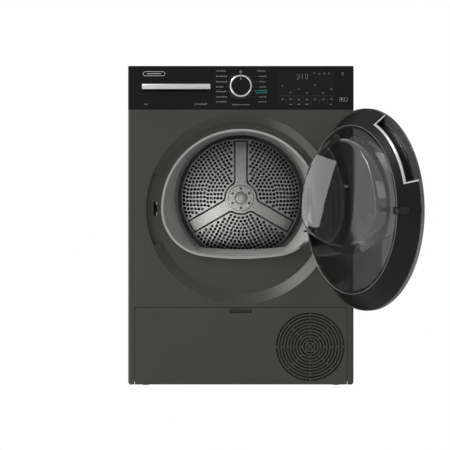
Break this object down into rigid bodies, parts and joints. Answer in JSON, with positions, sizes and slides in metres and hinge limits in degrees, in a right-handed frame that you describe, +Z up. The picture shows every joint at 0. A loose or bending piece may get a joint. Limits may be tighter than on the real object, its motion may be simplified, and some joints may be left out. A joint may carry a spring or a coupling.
{
  "type": "clothes dryer",
  "caption": "Free-standing front-loading heat-pump clothes dryer with a round see-through door standing open, a dial, a water tank drawer and a lower service flap.",
  "frame": {"origin": "on the floor, under the middle of the cabinet's footprint", "axes": "+X to the user's right, +Y to the back, +Z up; the door opens towards -Y"},
  "size_m": [0.7166, 1.0626, 0.849],
  "materials": {
    "graphite_paint": "satin",
    "galvanised_steel": "matte",
    "stainless_steel": "brushed",
    "chrome": "polished",
    "brushed_aluminium": "brushed",
    "black_plastic": "satin gloss",
    "dark_plastic": "matte",
    "grey_plastic": "matte",
    "smoked_pane": "polished",
    "clear_moulding": "polished",
    "display_glass": "gloss",
    "rubber": "matte",
    "felt": "matte",
    "mesh": "matte",
    "copper": "polished",
    "black_enamel": "gloss",
    "board": "matte",
    "white_plastic": "matte"
  },
  "bodies": {
    "cabinet": {"side_panel_left": "graphite_paint", "side_panel_right": "graphite_paint", "worktop": "graphite_paint", "rear_panel": "galvanised_steel", "front_panel": "graphite_paint", "mouth_seal": "grey_plastic", "front_bulkhead": "grey_plastic", "moisture_strips": "stainless_steel", "drum_lamp_lens": "clear_moulding", "front_felt_seal": "felt", "rear_bulkhead": "galvanised_steel", "drum_bearing": "dark_plastic", "roller_axles": "galvanised_steel", "hinge_bracket": "galvanised_steel", "hinge_screws": "galvanised_steel", "door_catch": "dark_plastic", "control_fascia": "black_plastic", "display_window": "display_glass", "control_board": "board", "tank_housing": "dark_plastic", "base_tray": "dark_plastic", "feet": "rubber", "motor_body": "galvanised_steel", "fan_housing": "dark_plastic", "drive_belt": "rubber", "compressor": "black_enamel", "heat_exchangers": "brushed_aluminium", "refrigerant_pipes": "copper", "condensate_pump": "dark_plastic", "exchanger_cover": "grey_plastic", "cross_braces": "galvanised_steel", "drain_spigot": "dark_plastic", "mains_inlet": "dark_plastic"},
    "door": {"door_disc": "smoked_pane", "door_trim_ring": "chrome", "door_frame": "black_plastic", "door_bowl": "clear_moulding", "door_latch_hook": "dark_plastic", "door_hinge_leaf": "galvanised_steel"},
    "tank_drawer": {"tank_front": "black_plastic", "tank_handle_bar": "brushed_aluminium", "water_tank": "white_plastic"},
    "lint_filter": {"filter_frame": "grey_plastic", "filter_mesh": "mesh"},
    "programme_knob": {"knob_ring": "chrome", "knob_cap": "black_plastic"},
    "start_key": {"start_button": "black_plastic"},
    "flap": {"service_flap": "graphite_paint", "flap_grille": "dark_plastic"},
    "lever_left": {"cover_lever_left": "black_plastic"},
    "lever_right": {"cover_lever_right": "black_plastic"},
    "drum": {"drum_shell": "stainless_steel", "drum_back": "stainless_steel", "drum_hub": "stainless_steel", "drum_hub_screws": "galvanised_steel", "drum_lifters": "grey_plastic"},
    "rotor": {"motor_shaft": "galvanised_steel", "fan_impeller": "dark_plastic"},
    "roller_left": {"roller_left": "dark_plastic"},
    "roller_right": {"roller_right": "dark_plastic"}
  },
  "joints": [
    {"name": "door_swing", "type": "hinge", "parent": "cabinet", "child": "door", "pos_m": [0.2, -0.326, 0.472], "axis": [0, 0, 1], "range_deg": [-117, 0]},
    {"name": "tank_pull", "type": "slide", "parent": "cabinet", "child": "tank_drawer", "axis": [0, -1, 0], "range_m": [0, 0.4]},
    {"name": "filter_lift", "type": "slide", "parent": "cabinet", "child": "lint_filter", "axis": [0, 0, 1], "range_m": [0, 0.125]},
    {"name": "knob_turn", "type": "hinge", "parent": "cabinet", "child": "programme_knob", "pos_m": [0, -0.305, 0.795], "axis": [0, -1, 0], "continuous": true},
    {"name": "start_press", "type": "slide", "parent": "cabinet", "child": "start_key", "axis": [0, 1, 0], "range_m": [0, 0.0015], "stiffness_N_per_m": 400, "springref_m": -0.0006},
    {"name": "flap_swing", "type": "hinge", "parent": "cabinet", "child": "flap", "pos_m": [0, -0.291, 0.02], "axis": [1, 0, 0], "range_deg": [0, 62]},
    {"name": "lever_left_turn", "type": "hinge", "parent": "cabinet", "child": "lever_left", "pos_m": [-0.226, -0.285, 0.1], "axis": [0, -1, 0], "range_deg": [0, 90]},
    {"name": "lever_right_turn", "type": "hinge", "parent": "cabinet", "child": "lever_right", "pos_m": [-0.038, -0.285, 0.1], "axis": [0, 1, 0], "range_deg": [0, 90]},
    {"name": "drum_spin", "type": "hinge", "parent": "cabinet", "child": "drum", "pos_m": [0, 0, 0.5], "axis": [0, 1, 0], "continuous": true},
    {"name": "motor_spin", "type": "hinge", "parent": "cabinet", "child": "rotor", "pos_m": [0.17, 0, 0.11], "axis": [0, 1, 0], "continuous": true},
    {"name": "roller_left_spin", "type": "hinge", "parent": "cabinet", "child": "roller_left", "pos_m": [-0.16337, -0.195, 0.23855], "axis": [0, 1, 0], "continuous": true},
    {"name": "roller_right_spin", "type": "hinge", "parent": "cabinet", "child": "roller_right", "pos_m": [0.16337, -0.195, 0.23855], "axis": [0, 1, 0], "continuous": true}
  ],
  "couplings": [
    {"joint": "motor_spin", "follows": "drum_spin", "ratio": 17.875},
    {"joint": "roller_left_spin", "follows": "drum_spin", "ratio": -13},
    {"joint": "roller_right_spin", "follows": "drum_spin", "ratio": -13}
  ]
}
